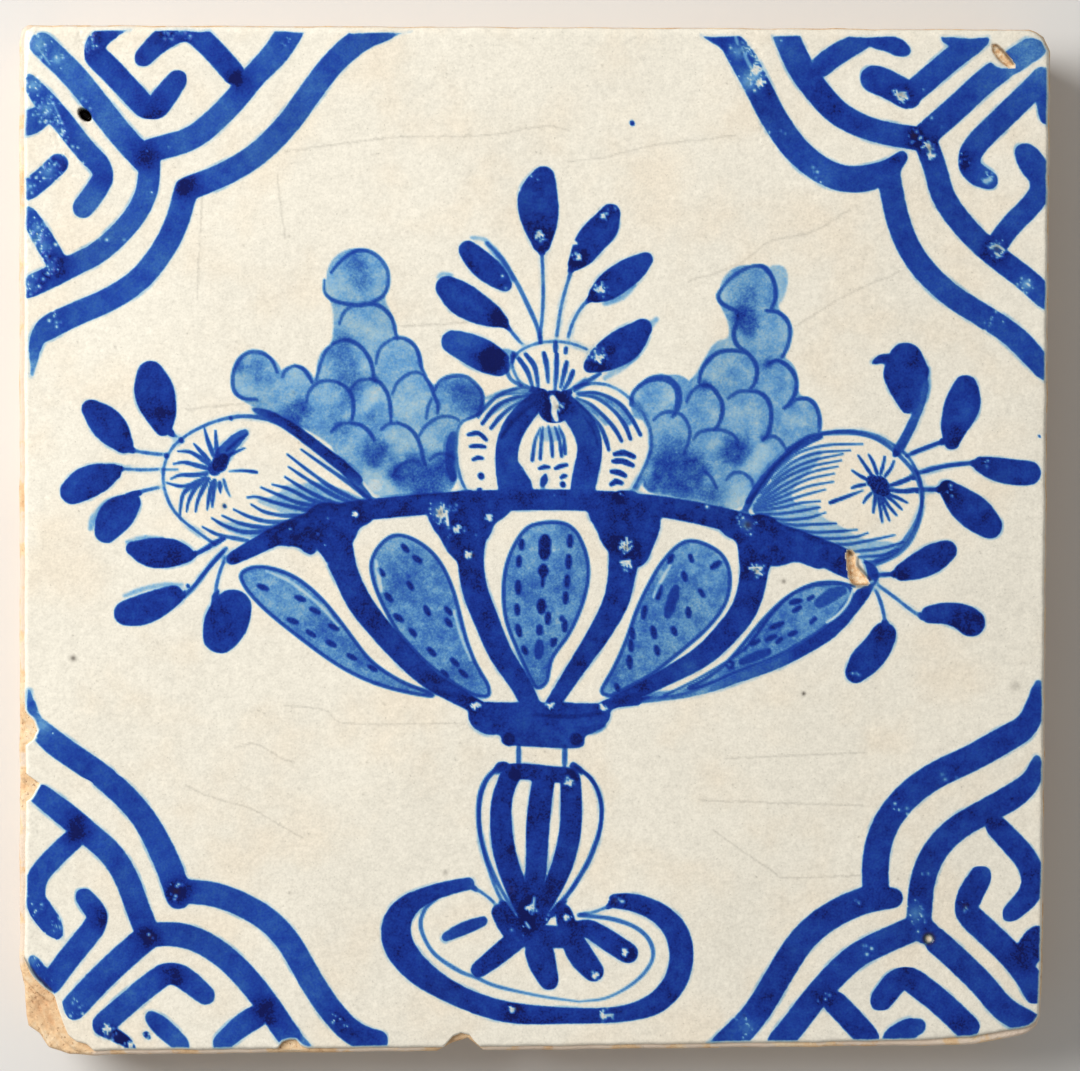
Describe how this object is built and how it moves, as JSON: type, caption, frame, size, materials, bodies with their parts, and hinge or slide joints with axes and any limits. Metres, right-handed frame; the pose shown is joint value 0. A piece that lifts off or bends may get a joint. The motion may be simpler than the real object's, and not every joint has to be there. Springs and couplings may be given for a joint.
{
  "type": "glazed tile",
  "caption": "Square hand-made wall tile of fired clay with a white tin glaze, painted in cobalt blue with a footed fruit dish and fret corners; worn corners and nail holes.",
  "frame": {"origin": "middle of the tile's back face, which lies on the surface below it", "axes": "+Z out of the glazed face, +Y towards the picture's top edge, +X to the picture's right"},
  "size_m": [0.129, 0.1289, 0.0127],
  "materials": {
    "fired_clay": "matt, porous fired earthenware, pinkish buff",
    "tin_glaze": "glossy opaque white tin glaze with a warm cast, fine pits and crazing",
    "cobalt": "cobalt blue fired into the glaze, glossy, uneven",
    "cobalt_dark": "thick cobalt blue fired into the glaze, glossy, with small pits",
    "cobalt_line": "thin cobalt brush lines, glossy",
    "cobalt_wash": "pale watery cobalt wash, glossy, mottled"
  },
  "bodies": {
    "root": {"clay_body": "fired_clay", "tin_glaze": "tin_glaze", "dish": "cobalt_dark", "stem": "cobalt_dark", "foot_ring": "cobalt_dark", "foot_drop": "cobalt_dark", "middle_fruit": "cobalt", "left_pear": "cobalt_line", "right_pear": "cobalt_line", "left_leaf_1": "cobalt_dark", "left_leaf_2": "cobalt_dark", "left_leaf_3": "cobalt_dark", "left_leaf_4": "cobalt_dark", "left_leaf_5": "cobalt_dark", "left_leaf_6": "cobalt_dark", "left_leaf_7": "cobalt_dark", "top_leaf_1": "cobalt_dark", "top_leaf_2": "cobalt_dark", "top_leaf_3": "cobalt_dark", "top_leaf_4": "cobalt_dark", "top_leaf_5": "cobalt_dark", "top_leaf_6": "cobalt_dark", "top_leaf_7": "cobalt_dark", "right_leaf_1": "cobalt_dark", "right_leaf_2": "cobalt_dark", "right_leaf_3": "cobalt_dark", "right_leaf_4": "cobalt_dark", "right_leaf_5": "cobalt_dark", "right_leaf_6": "cobalt_dark", "right_leaf_7": "cobalt_dark", "top_left_outer_band": "cobalt", "top_left_inner_band": "cobalt", "top_left_upper_hook": "cobalt_dark", "top_left_crook": "cobalt_dark", "top_left_side_hook": "cobalt", "top_left_side_bar": "cobalt", "top_right_outer_band": "cobalt_dark", "top_right_inner_band": "cobalt_dark", "top_right_upper_bar": "cobalt", "top_right_upper_hook": "cobalt_dark", "top_right_side_hook": "cobalt_dark", "bottom_left_outer_band": "cobalt", "bottom_left_inner_band": "cobalt", "bottom_left_side_bar": "cobalt", "bottom_left_side_hook": "cobalt", "bottom_left_lower_hook": "cobalt", "bottom_left_lower_bar": "cobalt", "bottom_right_outer_band": "cobalt_dark", "bottom_right_inner_band": "cobalt_dark", "bottom_right_side_hook": "cobalt_dark", "bottom_right_side_bar": "cobalt_dark", "bottom_right_lower_hook": "cobalt_dark", "bottom_right_lower_bar": "cobalt_dark", "dish_lobe_1": "cobalt_wash", "dish_lobe_2": "cobalt_wash", "dish_lobe_3": "cobalt_wash", "dish_lobe_4": "cobalt_wash", "dish_lobe_5": "cobalt_wash", "left_grapes": "cobalt_wash", "right_grapes": "cobalt_wash"}
  },
  "joints": []
}
